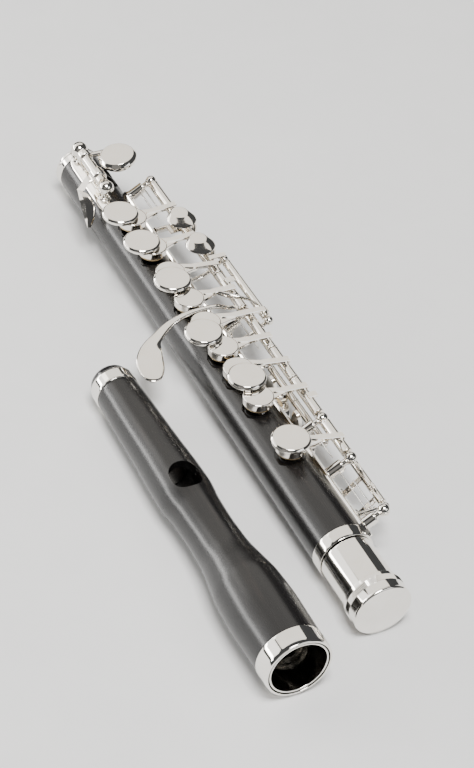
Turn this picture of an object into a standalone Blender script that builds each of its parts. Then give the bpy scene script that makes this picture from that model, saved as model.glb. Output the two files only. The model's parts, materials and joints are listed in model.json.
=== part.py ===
"""A grenadilla piccolo, laid down in its two joints: the keyed body and, beside it, the head joint.

Lengths are in millimetres and are scaled to metres when a mesh is made. +X runs along the body
towards the tenon, +Y is the side of the hinge rods and +Z is the side of the finger keys. Shapes are
first drawn in the body's own axes, with the origin on the bore's axis at the shoulder of the tenon.
REST_SHIFT then sets the whole part on z = 0 with the middle of its box over the origin.
"""
import math

import bmesh
import bpy
from mathutils import Matrix, Vector

MM = 0.001
GAP = 0.3               # clearance between two separate pieces that touch in the real instrument

# Body joint
FOOT_X = -189.0
FOOT_RING_LENGTH = 3.7
RING_X = -4.1           # foot side of the silver ring at the tenon shoulder
TENON_END_X = 19.2
BODY_R_FOOT = 7.35
BODY_R_TOP = 8.15
RING_R = 8.4
FOOT_RING_R = 7.5
TENON_R = 7.89
SLEEVE_WALL = 0.35
BORE_R_FOOT = 4.0
BORE_R_TOP = 5.5

# Tenon cap
CAP_X = 14.4
CAP_END_X = 22.4
CAP_SLEEVE_R = 8.48
CAP_FLANGE_R = 8.65

# Head joint: its axis leans by HEAD_PITCH because the narrow crown and the wide socket both rest
HEAD_Y = -30.8
HEAD_ORIGIN = Vector((12.0, HEAD_Y, 1.36))
HEAD_PITCH = math.radians(1.78)
HEAD_BARREL_R = 10.0
SOCKET_R = 8.05
SOCKET_DEPTH = 20.0
HEAD_BORE_R = 5.5
MOUTH_X = 20.0          # socket mouth, measured along the head's axis from HEAD_ORIGIN
SOCKET_RING_LENGTH = 5.8
EMBOUCHURE_X = -50.4
EMBOUCHURE_HALF_LENGTH = 5.0
EMBOUCHURE_HALF_WIDTH = 4.3
WOOD_TOP_X = -96.0
CROWN_X = -104.4

# Stack of a key over its tone hole
SEAT_DEPTH = 0.75       # how far the flat seat is cut below the top of the wood
SEAT_CLEARANCE = 0.12
OPEN_LIFT = 1.75
CLOSED_LIFT = 0.18
PAD_THICKNESS = 1.4
PAD_R = 4.1
CUP_THICKNESS = 2.0
CUP_R = 4.5
BUTTON_R = 5.7
BUTTON_THICKNESS = 1.6
BUTTON_RISE = 0.35
ARM_HALF_WIDTH = 1.1
ARM_END_Z = 11.05       # height of the middle of an arm where it ends over its tube
SIDE_ANGLE = math.radians(108)   # from the top of the body towards +Y, for the keys at the back
CUP_LINE_Y = -0.5

# Hinge lines, as (y, z)
MAIN_LINE = (14.2, 8.8)
OUTER_LINE = (19.0, 8.8)
TRILL_LINE = (17.0, 3.8)
THUMB_LINE = (13.14, 3.52)
EB_LINE = (-2.4, 12.0)
ROD_R = 0.5
TUBE_BORE_R = 0.8
TUBE_R = {MAIN_LINE: 1.6, OUTER_LINE: 1.3, TRILL_LINE: 1.15, THUMB_LINE: 1.15, EB_LINE: 1.8}
COLLAR_R = 2.5
BALL_R = 1.8
SMALL_BALL_R = 1.4
TRILL_BALL_R = 1.25
RIB_THICKNESS = 0.9
RIB_ANGLES = (math.radians(40), math.radians(71))
POST_ANGLE = math.radians(58)
EB_RIB_ANGLES = (math.radians(-40), math.radians(-13))

# What the box of the finished part needs to be centred: its ends along X and Y, and its floor
REST_SHIFT = Vector((78.35, 10.2, 8.65))

SILVER = ("silver", (0.83, 0.81, 0.77), 0.12, 1.0)
STEEL = ("steel", (0.56, 0.56, 0.57), 0.3, 1.0)
GRENADILLA = ("grenadilla", (0.022, 0.02, 0.02), 0.38, 0.0)
PAD_SKIN = ("pad_skin", (0.55, 0.42, 0.24), 0.7, 0.0)
BLACK_RESIN = ("black_resin", (0.01, 0.01, 0.011), 0.25, 0.0)
CORK = ("cork", (0.62, 0.45, 0.28), 0.85, 0.0)


def clear_scene():
    for item in list(bpy.data.objects):
        bpy.data.objects.remove(item)


def finish_material(name, finish):
    _, colour, roughness, metallic = finish
    material = bpy.data.materials.new(name)
    material.use_nodes = True
    shader = material.node_tree.nodes["Principled BSDF"]
    shader.inputs["Base Color"].default_value = (*colour, 1.0)
    shader.inputs["Roughness"].default_value = roughness
    shader.inputs["Metallic"].default_value = metallic
    return material


# ---------------------------------------------------------------- shapes

def axis_matrix(start, direction):
    """Turns local +X to a direction and moves the origin to a start point."""
    turn = Vector(direction).to_track_quat('X', 'Z').to_matrix().to_4x4()
    return Matrix.Translation(Vector(start)) @ turn


def turned(profile, sides, closed=False):
    """Turns an (x, r) profile about X. A closed one makes a ring, an open one starts and ends at r = 0."""
    shape = bmesh.new()
    rings = []
    for x, r in profile:
        if r < 1e-6:
            rings.append([shape.verts.new((x, 0, 0))])
            continue
        angles = [2 * math.pi * i / sides for i in range(sides)]
        rings.append([shape.verts.new((x, r * math.cos(a), r * math.sin(a))) for a in angles])
    pairs = list(zip(rings, rings[1:]))
    if closed:
        pairs.append((rings[-1], rings[0]))
    for first, second in pairs:
        for i in range(sides):
            j = (i + 1) % sides
            corners = [first[i % len(first)], first[j % len(first)]]
            corners += [second[j % len(second)], second[i % len(second)]]
            shape.faces.new(list(dict.fromkeys(corners)))
    bmesh.ops.recalc_face_normals(shape, faces=shape.faces)
    return shape


def rod(start, end, radius, sides=8):
    length = (Vector(end) - Vector(start)).length
    shape = turned([(0, 0), (0, radius), (length, radius), (length, 0)], sides)
    shape.transform(axis_matrix(start, Vector(end) - Vector(start)))
    return shape


def ring(x0, x1, inner, outer, sides=28):
    return turned([(x0, inner), (x0, outer), (x1, outer), (x1, inner)], sides, closed=True)


def ball(centre, radius, sides=8):
    shape = bmesh.new()
    bmesh.ops.create_uvsphere(shape, u_segments=sides, v_segments=6, radius=radius)
    shape.transform(Matrix.Translation(Vector(centre)))
    return shape


def bar(stations):
    """A bar through stations of (centre, half side vector, half thickness vector)."""
    shape = bmesh.new()
    loops = []
    for centre, side, thick in stations:
        centre, side, thick = Vector(centre), Vector(side), Vector(thick)
        below, above = centre - thick, centre + thick
        corners = (below - side, below + side, above + side, above - side)
        loops.append([shape.verts.new(corner) for corner in corners])
    for first, second in zip(loops, loops[1:]):
        for i in range(4):
            j = (i + 1) % 4
            shape.faces.new((first[i], first[j], second[j], second[i]))
    shape.faces.new(loops[0])
    shape.faces.new(loops[-1])
    bmesh.ops.recalc_face_normals(shape, faces=shape.faces)
    return shape


def disc(centre, radius, thickness, chamfer=0.35, sides=16, turn=Matrix.Identity(4)):
    """An upright disc standing on its centre point, with a chamfered upper edge."""
    shoulder = thickness - chamfer
    profile = [(0, 0), (0, radius), (shoulder, radius), (thickness, radius - chamfer), (thickness, 0)]
    shape = turned(profile, sides)
    shape.transform(turn @ axis_matrix(centre, (0, 0, 1)))
    return shape


def shell(x0, x1, angles, lower, upper, slices=4, stations=7):
    """A curved plate on the body between two angles from the top, its tips narrowed to rounded points."""
    shape = bmesh.new()
    middle = 0.5 * (angles[0] + angles[1])
    half = 0.5 * (angles[1] - angles[0])
    loops = []
    for i in range(stations):
        s = i / (stations - 1)
        x = x0 + (x1 - x0) * s
        width = half * (0.45 + 0.55 * min(1.0, 6 * s, 6 * (1 - s)))
        spread = [middle + width * (2 * j / (slices - 1) - 1) for j in range(slices)]
        below = [(x, lower(x) * math.sin(a), lower(x) * math.cos(a)) for a in spread]
        above = [(x, upper(x) * math.sin(a), upper(x) * math.cos(a)) for a in reversed(spread)]
        loops.append([shape.verts.new(point) for point in below + above])
    count = len(loops[0])
    for first, second in zip(loops, loops[1:]):
        for i in range(count):
            j = (i + 1) % count
            shape.faces.new((first[i], first[j], second[j], second[i]))
    for loop in (loops[0], loops[-1]):
        for i in range(slices - 1):
            shape.faces.new((loop[i], loop[i + 1], loop[count - 2 - i], loop[count - 1 - i]))
    bmesh.ops.recalc_face_normals(shape, faces=shape.faces)
    return shape


# ---------------------------------------------------------------- joining and cutting

def scratch_object(shape):
    mesh = bpy.data.meshes.new("scratch")
    shape.to_mesh(mesh)
    shape.free()
    item = bpy.data.objects.new("scratch", mesh)
    bpy.context.scene.collection.objects.link(item)
    return item


def combined(first, others, operation):
    """Joins or cuts a shape with others by exact Booleans and gives the result as a bmesh."""
    base = scratch_object(first)
    helpers = [scratch_object(other) for other in others]
    for helper in helpers:
        step = base.modifiers.new("step", 'BOOLEAN')
        step.operation = operation
        step.solver = 'EXACT'
        step.object = helper
    graph = bpy.context.evaluated_depsgraph_get()
    result = bmesh.new()
    result.from_object(base, graph)
    for item in [base] + helpers:
        mesh = item.data
        bpy.data.objects.remove(item)
        bpy.data.meshes.remove(mesh)
    bmesh.ops.remove_doubles(result, verts=result.verts, dist=0.002)
    bmesh.ops.dissolve_degenerate(result, edges=result.edges, dist=0.002)
    return result


def joined(*shapes):
    return combined(shapes[0], shapes[1:], 'UNION')


def cut(shape, *cutters):
    return combined(shape, cutters, 'DIFFERENCE')


def node(name, shape, finish, pivot=(0, 0, 0), frame=Matrix.Identity(4)):
    """Makes one named object whose origin is the pivot of its joint."""
    pivot = Vector(pivot)
    shape.transform(Matrix.Translation(-pivot))
    bmesh.ops.recalc_face_normals(shape, faces=shape.faces)
    if shape.calc_volume(signed=True) < 0:
        bmesh.ops.reverse_faces(shape, faces=shape.faces)
    shape.transform(Matrix.Scale(MM, 4))
    mesh = bpy.data.meshes.new(name)
    shape.to_mesh(mesh)
    shape.free()
    mesh.materials.append(finish_material(name, finish))
    mesh.shade_smooth()
    mesh.set_sharp_from_angle(angle=math.radians(35))
    item = bpy.data.objects.new(name, mesh)
    bpy.context.scene.collection.objects.link(item)
    place = Matrix.Translation(REST_SHIFT) @ frame @ Matrix.Translation(pivot)
    item.matrix_world = Matrix.Translation(place.translation * MM) @ place.to_3x3().to_4x4()
    return item


# ---------------------------------------------------------------- body joint

def body_radius(x):
    s = (x - FOOT_X) / (RING_X - FOOT_X)
    return BODY_R_FOOT + (BODY_R_TOP - BODY_R_FOOT) * s


def seat_height(x):
    return body_radius(x) - SEAT_DEPTH


def side_turn(angle):
    """Turns the top of the body to an angle towards +Y."""
    return Matrix.Rotation(-angle, 4, 'X')


def around_line(line, angle):
    """A turn about a hinge line that runs along X."""
    hinge = Matrix.Translation((0, line[0], line[1]))
    return hinge @ Matrix.Rotation(angle, 4, 'X') @ hinge.inverted()


# Each tone hole: key name, x, offset from the top line, angle, hinge line, closing turn, hole radius
OPEN_TURN = math.radians(6.2)
THUMB_TURN = math.radians(-13.0)
EB_TURN = math.radians(-46.0)
EB_ANGLE = math.radians(36)
TONE_HOLES = [
    ("d_key", -144.5, CUP_LINE_Y, 0.0, MAIN_LINE, OPEN_TURN, 2.9),
    ("e_key", -129.2, CUP_LINE_Y, 0.0, MAIN_LINE, OPEN_TURN, 2.9),
    ("f_key", -116.0, CUP_LINE_Y, 0.0, MAIN_LINE, OPEN_TURN, 2.8),
    ("f_sharp_key", -102.4, CUP_LINE_Y, 0.0, MAIN_LINE, OPEN_TURN, 2.8),
    ("g_lower_key", -90.7, CUP_LINE_Y, 0.0, OUTER_LINE, OPEN_TURN * 0.75, 2.7),
    ("g_key", -78.8, CUP_LINE_Y, 0.0, MAIN_LINE, OPEN_TURN, 2.7),
    ("a_key", -68.6, CUP_LINE_Y, 0.0, MAIN_LINE, OPEN_TURN, 2.6),
    ("b_flat_key", -55.5, CUP_LINE_Y, 0.0, MAIN_LINE, OPEN_TURN, 2.5),
    ("c_key", -34.8, CUP_LINE_Y, 0.0, MAIN_LINE, OPEN_TURN, 1.9),
    ("g_sharp_key", -97.0, 0.0, SIDE_ANGLE, MAIN_LINE, 0.0, 2.5),
    ("thumb_b_flat_key", -62.0, 0.0, SIDE_ANGLE, THUMB_LINE, THUMB_TURN, 2.4),
    ("thumb_b_key", -46.0, 0.0, SIDE_ANGLE, THUMB_LINE, THUMB_TURN, 2.4),
    ("trill_d_sharp_key", -23.0, 0.0, SIDE_ANGLE, TRILL_LINE, 0.0, 1.8),
    ("trill_d_key", -14.2, 0.0, SIDE_ANGLE, TRILL_LINE, 0.0, 1.8),
]
SMALL_KEYS = ("trill_d_sharp_key", "trill_d_key")
EB_HOLE_X = -172.2
EB_PAD_R = 5.3


def pad_radius(name):
    return 3.2 if name in SMALL_KEYS else PAD_R


def lift_of(turn):
    return CLOSED_LIFT if turn == 0.0 else OPEN_LIFT


def wooden_body():
    ring_end = FOOT_X + FOOT_RING_LENGTH + GAP
    tenon_r = TENON_R - SLEEVE_WALL - GAP
    profile = [(FOOT_X + 0.3, BORE_R_FOOT), (FOOT_X + 0.3, FOOT_RING_R - 1.2), (ring_end, FOOT_RING_R - 1.2),
               (ring_end, BODY_R_FOOT), (RING_X - GAP, BODY_R_TOP), (RING_X - GAP, RING_R - 1.2),
               (0.5, RING_R - 1.2), (0.5, tenon_r), (TENON_END_X, tenon_r), (TENON_END_X, BORE_R_TOP)]
    body = turned(profile, 28, closed=True)
    cutters = []
    for name, x, offset, angle, line, turn, hole_r in TONE_HOLES:
        seat = seat_height(x) + lift_of(turn) - SEAT_CLEARANCE
        seat_cutter = disc((x, offset, seat), pad_radius(name) + 0.5, 8.0, 0.01, 14, side_turn(angle))
        seat_cutter.transform(around_line(line, turn))
        cutters.append(seat_cutter)
        hole = disc((x, offset, 3.0), hole_r, 7.0, 0.01, 10, side_turn(angle))
        cutters.append(hole)
    seat = seat_height(EB_HOLE_X) - SEAT_CLEARANCE
    cutters.append(disc((EB_HOLE_X, 0, seat), EB_PAD_R + 0.5, 8.0, 0.01, 14, side_turn(EB_ANGLE)))
    cutters.append(disc((EB_HOLE_X, 0, 3.0), 3.0, 7.0, 0.01, 10, side_turn(EB_ANGLE)))
    node("body_tube", cut(body, *cutters), GRENADILLA)


def body_rings():
    foot_end = FOOT_X + FOOT_RING_LENGTH
    node("foot_ring", ring(FOOT_X, foot_end, FOOT_RING_R - 1.2 + GAP, FOOT_RING_R), SILVER)
    node("body_ring", ring(RING_X, 0.0, RING_R - 1.2 + GAP, RING_R), SILVER)
    node("tenon_sleeve", ring(0.8, TENON_END_X, TENON_R - SLEEVE_WALL, TENON_R), SILVER)


def polar(radius, angle):
    return Vector((0, radius * math.sin(angle), radius * math.cos(angle)))


def stem(x, foot, head, radius=1.8):
    """A stout barrel standing on the rib, with a short neck up to the ball."""
    foot, head = Vector(foot) + Vector((x, 0, 0)), Vector(head) + Vector((x, 0, 0))
    shoulder = head - (head - foot).normalized() * 2.9
    return joined(rod(foot, shoulder, radius, 10), rod(foot, head, 0.6 * radius, 6))


def line_point(line, x=0.0):
    return Vector((x, line[0], line[1]))


MAIN_POSTS = (-163.0, -93.0, -43.6, -26.3)
UPPER_POST = (-5.3, 15.7)       # x and distance from the axis
OUTER_POSTS = (-118.6, -87.6)
TRILL_POSTS = (-145.2, -10.0)
THUMB_POSTS = (-75.2, -39.5)
EB_POSTS = (-182.4, -160.7)
EB_BALLS = (2.7, 2.5)


def main_rib():
    """The long rib with every post of the main, outer, trill and thumb lines."""
    lower = lambda x: body_radius(x) + GAP
    upper = lambda x: body_radius(x) + GAP + RIB_THICKNESS
    parts = [shell(-165.6, -0.6, RIB_ANGLES, lower, upper, stations=9)]
    root = polar(body_radius(-90) + 0.7, POST_ANGLE)
    side_root = Vector((0, 8.0, 3.35))
    for x in MAIN_POSTS:
        parts.append(stem(x, root, line_point(MAIN_LINE)))
        parts.append(ball(line_point(MAIN_LINE, x), BALL_R))
    x, reach = UPPER_POST
    parts.append(stem(x, root, polar(reach, POST_ANGLE)))
    parts.append(ball(polar(reach, POST_ANGLE) + Vector((x, 0, 0)), BALL_R))
    for x in OUTER_POSTS:
        path = [side_root, Vector((0, 12.0, 4.2)), Vector((0, 15.6, 6.3)), line_point(OUTER_LINE)]
        stations = [(point + Vector((x, 0, 0)), (0.9, 0, 0), (0, -0.35, 0.6)) for point in path]
        parts.append(bar(stations))
        parts.append(ball(line_point(OUTER_LINE, x), SMALL_BALL_R))
    for x in TRILL_POSTS:
        parts.append(stem(x, side_root, line_point(TRILL_LINE), 0.95))
        parts.append(ball(line_point(TRILL_LINE, x), TRILL_BALL_R))
    for x in THUMB_POSTS:
        parts.append(stem(x, side_root, line_point(THUMB_LINE), 1.0))
        parts.append(ball(line_point(THUMB_LINE, x), SMALL_BALL_R))
    bores = [rod(line_point(MAIN_LINE, -170), line_point(MAIN_LINE, -20), TUBE_BORE_R),
             rod(line_point(OUTER_LINE, -125), line_point(OUTER_LINE, -80), TUBE_BORE_R),
             rod(line_point(TRILL_LINE, -150), line_point(TRILL_LINE, -5), TUBE_BORE_R),
             rod(line_point(THUMB_LINE, -80), line_point(THUMB_LINE, -35), TUBE_BORE_R)]
    node("main_rib", cut(joined(*parts), *bores), SILVER)


def eb_rib():
    """The short saddle near the foot, with the two posts of the E flat key."""
    lower = lambda x: body_radius(x) + GAP
    upper = lambda x: body_radius(x) + GAP + RIB_THICKNESS
    parts = [shell(-184.6, -155.0, EB_RIB_ANGLES, lower, upper, stations=9)]
    root = polar(body_radius(-170) + 1.1, math.radians(-20))
    for x, ball_r in zip(EB_POSTS, EB_BALLS):
        parts.append(stem(x, root, line_point(EB_LINE), 1.8))
        parts.append(ball(line_point(EB_LINE, x), ball_r, 12))
    bore = rod(line_point(EB_LINE, -190), line_point(EB_LINE, -155), TUBE_BORE_R)
    node("e_flat_rib", cut(joined(*parts), bore), SILVER)


def hinge_rods():
    spans = [("main_rod", MAIN_LINE, MAIN_POSTS[0], MAIN_POSTS[-1]),
             ("outer_rod", OUTER_LINE, *OUTER_POSTS),
             ("thumb_rod", THUMB_LINE, *THUMB_POSTS),
             ("e_flat_rod", EB_LINE, *EB_POSTS)]
    for name, line, start, end in spans:
        node(name, rod(line_point(line, start - 1.5), line_point(line, end + 1.5), ROD_R), STEEL)


def needle_springs():
    """Thin wires pressed into the posts, each reaching under the key that it works."""
    spans = [(-160.9, -150.0, 13.6), (-160.9, -146.5, 11.9), (-90.9, -79.0, 13.6),
             (-41.5, -30.0, 12.6), (-24.2, -9.0, 11.9), (-19.5, -7.4, 13.6)]
    for index, (start, end, reach) in enumerate(spans, 1):
        centre = polar(reach, POST_ANGLE)
        wire = rod(centre + Vector((start, 0, 0)), centre + Vector((end, 0, 0)), 0.28, 6)
        node(f"needle_spring_{index}", wire, STEEL)


# ---------------------------------------------------------------- keys

def hinge_tube(line, start, end):
    return rod(line_point(line, start), line_point(line, end), TUBE_R[line], 10)


def tube_bore(line, start, end):
    return rod(line_point(line, start - 1), line_point(line, end + 1), TUBE_BORE_R)


def key_pad(name, x, offset, angle, line, turn):
    base = seat_height(x) + lift_of(turn)
    pad = disc((x, offset, base), pad_radius(name), PAD_THICKNESS - GAP, 0.2, 12, side_turn(angle))
    node(name.replace("_key", "_pad"), pad, PAD_SKIN, line_point(line))


def cup_base(x, turn):
    return seat_height(x) + lift_of(turn) + PAD_THICKNESS


def key_arm(cup_x, top, end, flat_to=None):
    """The two layers of an arm: a gusset from the cup, and over it a straight bar that slopes to the tube."""
    end_x, end_y, end_z = end
    start = Vector((cup_x, CUP_LINE_Y + CUP_R - 1.0, top - 0.75))
    finish = Vector((end_x, end_y, end_z))
    middle = start.lerp(finish, 0.62)
    gusset = bar([(start, (2.5, 0, 0), (0, 0, 0.45)), (middle, (0.5, 0, 0), (0, 0, 0.45))])
    lift = Vector((0, 0, 0.3))
    points = [(start.lerp(finish, 0.1) + lift, 0.15), (start.lerp(finish, 0.36) + lift, ARM_HALF_WIDTH)]
    if flat_to:
        points.append((Vector((end_x, flat_to, points[-1][0].z)), ARM_HALF_WIDTH))
    points.append((finish, ARM_HALF_WIDTH))
    blade = bar([(point, (half, 0, 0), (0, 0, 0.5)) for point, half in points])
    return [gusset, blade]


def key_tab(x, line, y_end, z, half=1.0):
    """A short flat tab that bears on the neighbouring line."""
    side, y = (half, 0, 0), line[0]
    root = bar([((x, y, line[1]), side, (0, 0.7, 0)), ((x, y, z), side, (0, 0.7, 0))])
    plate = bar([((x, y - 0.7, z), side, (0, 0, 0.35)), ((x, y_end, z), side, (0, 0, 0.35))])
    return [root, plate]


def top_key(name, cup_x, line, tube, arm_end, button=None, extras=(), flat_to=None):
    """A finger key: cup, pointed arm, hinge tube and, on most, a raised round button."""
    base = cup_base(cup_x, OPEN_TURN)
    top = base + CUP_THICKNESS
    arm_x, arm_y = arm_end
    parts = [disc((cup_x, CUP_LINE_Y, base), CUP_R, CUP_THICKNESS)]
    parts += key_arm(cup_x, top, (arm_x, arm_y, ARM_END_Z), flat_to)
    parts.append(bar([((arm_x, line[0], ARM_END_Z), (0.9, 0, 0), (0, 0.8, 0)),
                      ((arm_x, line[0], line[1]), (0.9, 0, 0), (0, 0.8, 0))]))
    parts.append(hinge_tube(line, *tube))
    parts += extras
    if button:
        x, y = button
        middle = (0.5 * (x + cup_x), 0.5 * (y + CUP_LINE_Y), top - 0.5)
        parts.append(disc(middle, 2.6, 0.5 + BUTTON_RISE + 0.4, 0.02, 8))
        parts.append(disc((x, y, top + BUTTON_RISE), BUTTON_R, BUTTON_THICKNESS, 0.5, 20))
    node(name, cut(joined(*parts), tube_bore(line, *tube)), SILVER, line_point(line))


def finger_keys():
    main, outer = MAIN_LINE, OUTER_LINE
    side, thick = (2.1, 0, 0), (0, 0, 0.25)
    e_plate = bar([((-137.5, 14.2, 9.2), side, thick), ((-137.5, 8.7, 9.2), side, thick)])
    top_key("d_key", -144.5, main, (-161.0, -140.2), (-146.6, 15.2), (-145.8, -4.05))
    top_key("e_key", -129.2, main, (-139.9, -124.2), (-130.9, 14.6), (-130.3, -3.65), [e_plate])
    top_key("f_key", -116.0, main, (-123.9, -112.2), (-115.2, 15.2), (-110.4, -2.4),
            key_tab(-118.4, main, 19.2, 10.9))
    top_key("f_sharp_key", -102.4, main, (-111.9, -101.0), (-103.1, 15.0), None,
            key_tab(-107.0, main, 16.7, 10.7, 1.1))
    top_key("g_lower_key", -90.7, outer, (-91.9, -89.2), (-90.3, 19.2), None, (), 16.6)
    top_key("g_key", -78.8, main, (-91.1, -75.2), (-79.2, 15.4), (-84.9, -4.0))
    top_key("a_key", -68.6, main, (-74.9, -61.2), (-67.6, 15.4), (-62.8, -0.7))
    top_key("b_flat_key", -55.5, main, (-60.9, -45.6), (-55.6, 15.2), None,
            key_tab(-52.2, main, 16.7, 10.3, 1.1))
    top_key("c_key", -34.8, main, (-41.6, -28.3), (-33.1, 15.2), (-34.8, -0.7))


def side_cup(name, x, turn, cup_r):
    return disc((x, 0, cup_base(x, turn)), cup_r, CUP_THICKNESS, 0.35, 16, side_turn(SIDE_ANGLE))


def side_arm(x, line, turn, width, elbow=None):
    """A flat arm from a hinge line down to the cap of a cup on the side of the body."""
    height = cup_base(x, turn) + CUP_THICKNESS - 0.5
    end = polar(height, SIDE_ANGLE) + Vector((x, 0, 0))
    points = [line_point(line, x)] + ([Vector((x, *elbow))] if elbow else []) + [end]
    thick = polar(0.5, math.radians(95))
    return bar([(point, (width, 0, 0), thick) for point in points])


def g_sharp_key():
    """The little-finger lever: a cup at the back and a curved blade over the body to a teardrop touch."""
    line, tube, x = MAIN_LINE, (-100.7, -94.9), -97.0
    path = [(-96.9, 13.4, 8.3, 0.8), (-96.8, 10.6, 9.0, 0.8), (-96.6, 8.0, 10.4, 0.8),
            (-96.5, 5.4, 11.4, 0.8), (-96.4, 1.5, 11.7, 0.8), (-96.3, -3.0, 11.5, 0.9), (-95.9, -7.0, 10.8, 1.1),
            (-95.0, -11.0, 9.6, 1.5), (-93.0, -15.0, 8.1, 2.0)]
    blade = [((px, y, z), (w, w * 0.25 if y < -5 else 0, 0), (0, 0.1, 0.5)) for px, y, z, w in path]
    outline = [(-90.6, -17.4, 7.1, 2.1, 2.1), (-87.4, -19.6, 6.5, 2.5, 3.2), (-83.5, -21.3, 6.1, 2.1, 3.6),
               (-80.0, -22.2, 5.9, 1.2, 2.8), (-78.0, -22.6, 5.8, 0.5, 1.3)]
    touch = [((px, y, z), (wx, wy, 0), (0, 0, 0.6)) for px, y, z, wx, wy in outline]
    parts = [hinge_tube(line, *tube), bar(blade + touch), side_cup("g_sharp_key", x, 0.0, CUP_R),
             side_arm(x, line, 0.0, 1.1, (13.1, 2.6))]
    node("g_sharp_key", cut(joined(*parts), tube_bore(line, *tube)), SILVER, line_point(line))


def touch_dome(x, y, z):
    """A round touch whose flat top is set to one side, so that its far side slopes down to the rim."""
    shape = bmesh.new()
    loops = []
    for shift, height, radius in ((0.0, 0.0, 4.4), (0.0, 0.5, 4.6), (-0.9, 1.15, 3.9), (-2.0, 1.75, 2.7)):
        loop = []
        for i in range(18):
            a = 2 * math.pi * i / 18
            point = (x + shift + radius * math.cos(a), y + radius * math.sin(a), z + height)
            loop.append(shape.verts.new(point))
        loops.append(loop)
    for first, second in zip(loops, loops[1:]):
        for i in range(18):
            j = (i + 1) % 18
            shape.faces.new((first[i], first[j], second[j], second[i]))
    shape.faces.new(loops[0])
    shape.faces.new(loops[-1])
    bmesh.ops.recalc_face_normals(shape, faces=shape.faces)
    return shape


def trill_touch_arm(x):
    y, z = TRILL_LINE
    path = [(y, z), (y + 1.1, z + 3.2), (y + 0.5, z + 6.6), (y - 1.2, z + 7.9), (y - 4.0, z + 8.0)]
    stations = [((x, py, pz), (1.3, 0, 0), (0, 0.45, 0.3)) for py, pz in path]
    return bar(stations)


def spring_catch(x):
    """A small tongue on the trill line that a spring can bear on."""
    y, z = TRILL_LINE
    return bar([((x, y, z), (1.1, 0, 0), (0, 0.5, 0)), ((x, y - 0.9, z + 2.9), (1.1, 0, 0), (0, 0.35, 0))])


def trill_keys():
    """Two long trill keys on one line: a solid rod, and a tube that turns about it."""
    line = TRILL_LINE
    cup_r = 3.6
    rod_parts = [rod(line_point(line, -144.6), line_point(line, -9.4), ROD_R),
                 hinge_tube(line, -143.2, -131.0), hinge_tube(line, -18.0, -11.6),
                 trill_touch_arm(-138.2), touch_dome(-138.2, 13.5, 11.3), spring_catch(-16.4),
                 side_cup("trill_d_key", -14.2, 0.0, cup_r), side_arm(-14.2, line, 0.0, 1.0)]
    node("trill_d_key", joined(*rod_parts), SILVER, line_point(line))
    tube = (-130.7, -18.3)
    tube_parts = [hinge_tube(line, *tube), trill_touch_arm(-124.4), touch_dome(-124.4, 13.5, 11.3),
                  spring_catch(-24.5), side_cup("trill_d_sharp_key", -23.0, 0.0, cup_r),
                  side_arm(-23.0, line, 0.0, 1.0)]
    node("trill_d_sharp_key", cut(joined(*tube_parts), tube_bore(line, *tube)), SILVER, line_point(line))


def thumb_keys():
    """Two keys for the left thumb, with their cups and touches low on the rod side."""
    line = THUMB_LINE
    spans = [("thumb_b_flat_key", -62.0, (-73.3, -57.3), (-72.6, -67.4)),
             ("thumb_b_key", -46.0, (-57.0, -41.4), (-56.2, -51.4))]
    for name, x, tube, touch in spans:
        plate = shell(*touch, (math.radians(74), math.radians(131)), lambda _: 11.6, lambda _: 12.7, 6, 5)
        parts = [hinge_tube(line, *tube), side_cup(name, x, THUMB_TURN, CUP_R)]
        parts += [side_arm(x, line, THUMB_TURN, 1.2), plate]
        node(name, cut(joined(*parts), tube_bore(line, *tube)), SILVER, line_point(line))


def b_flat_lever():
    """The side lever beside the first finger of the right hand."""
    line, tube = OUTER_LINE, (-116.8, -92.2)
    path = [(-93.9, 18.9, 9.2, 0.9, 0.45), (-94.0, 17.7, 10.8, 1.0, 0.45), (-94.9, 15.8, 12.2, 1.3, 0.45),
            (-96.6, 13.0, 12.85, 1.9, 0.6), (-97.9, 10.9, 13.0, 2.5, 0.8), (-99.0, 9.1, 13.0, 2.2, 0.75),
            (-99.8, 7.9, 12.9, 1.0, 0.5)]
    blade = [((px, y, z), (0.8 * w, 0.55 * w, 0), (0, 0, thick)) for px, y, z, w, thick in path]
    parts = [hinge_tube(line, *tube), bar(blade)]
    node("b_flat_lever", cut(joined(*parts), tube_bore(line, *tube)), SILVER, line_point(line))


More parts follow.
